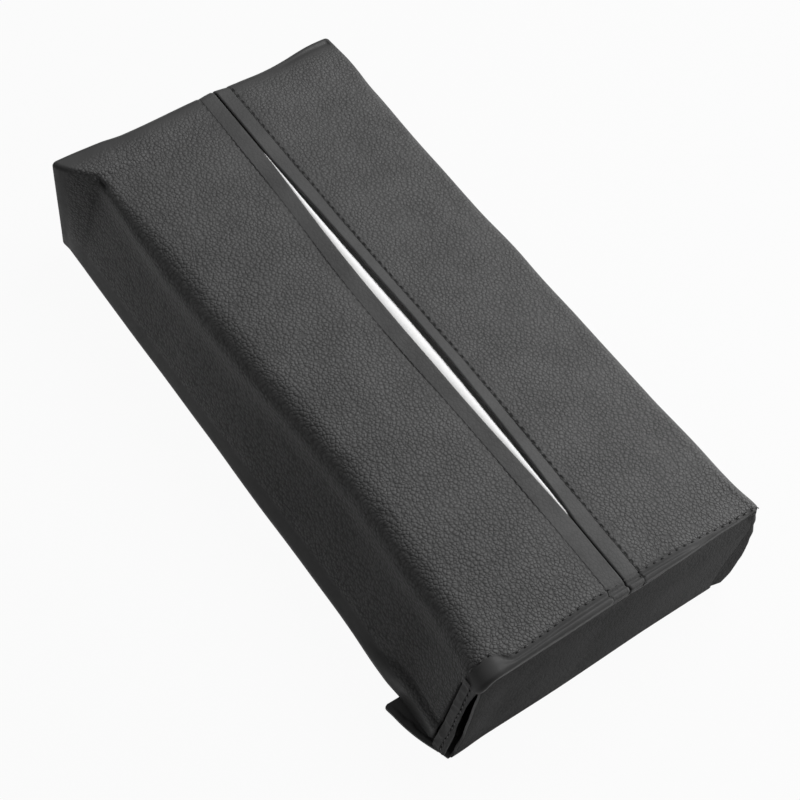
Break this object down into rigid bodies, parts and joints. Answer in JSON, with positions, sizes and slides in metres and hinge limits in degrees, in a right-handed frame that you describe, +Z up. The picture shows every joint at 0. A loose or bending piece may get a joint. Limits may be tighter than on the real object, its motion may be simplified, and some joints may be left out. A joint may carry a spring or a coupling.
{
  "type": "car tissue holder",
  "caption": "Long soft imitation leather cover with a slit along its top for drawing tissues, an end flap that lifts with a tab tucked under the base, and elastic bands beneath.",
  "frame": {"origin": "on the surface the part rests on, under the middle of the whole part", "axes": "+Z up, away from the resting surface; the cover's long way along Y, with the flap at -Y and the sewn end at +Y"},
  "size_m": [0.1332, 0.244, 0.056],
  "materials": {
    "grained_leather": "pebble grained imitation leather, satin",
    "pressed_leather": "smooth pressed imitation leather, satin",
    "tissue_paper": "soft two-ply tissue",
    "elastic_webbing": "woven elastic",
    "hook_and_loop_tape": "hook and loop tape"
  },
  "bodies": {
    "cover": {"left_panel": "grained_leather", "right_panel": "grained_leather", "slit_binding_left": "pressed_leather", "slit_binding_right": "pressed_leather", "mouth_strip_left": "pressed_leather", "mouth_strip_right": "pressed_leather", "rear_end_panel": "grained_leather", "base_panel": "grained_leather", "base_loop_strip": "hook_and_loop_tape", "elastic_band_front": "elastic_webbing", "elastic_band_rear": "elastic_webbing", "tissue_stack": "tissue_paper", "top_tissue": "tissue_paper"},
    "flap": {"front_flap": "grained_leather"},
    "tab": {"tuck_tab": "grained_leather", "tab_hook_strip": "hook_and_loop_tape"}
  },
  "joints": [
    {"name": "flap_hinge", "type": "hinge", "parent": "cover", "child": "flap", "pos_m": [0.00175, -0.11946, 0.0519], "axis": [-1, 0, 0], "range_deg": [0, 110]},
    {"name": "tab_hinge", "type": "hinge", "parent": "flap", "child": "tab", "pos_m": [0.00175, -0.11946, 0.0008], "axis": [-1, 0, 0], "range_deg": [0, 90]}
  ]
}
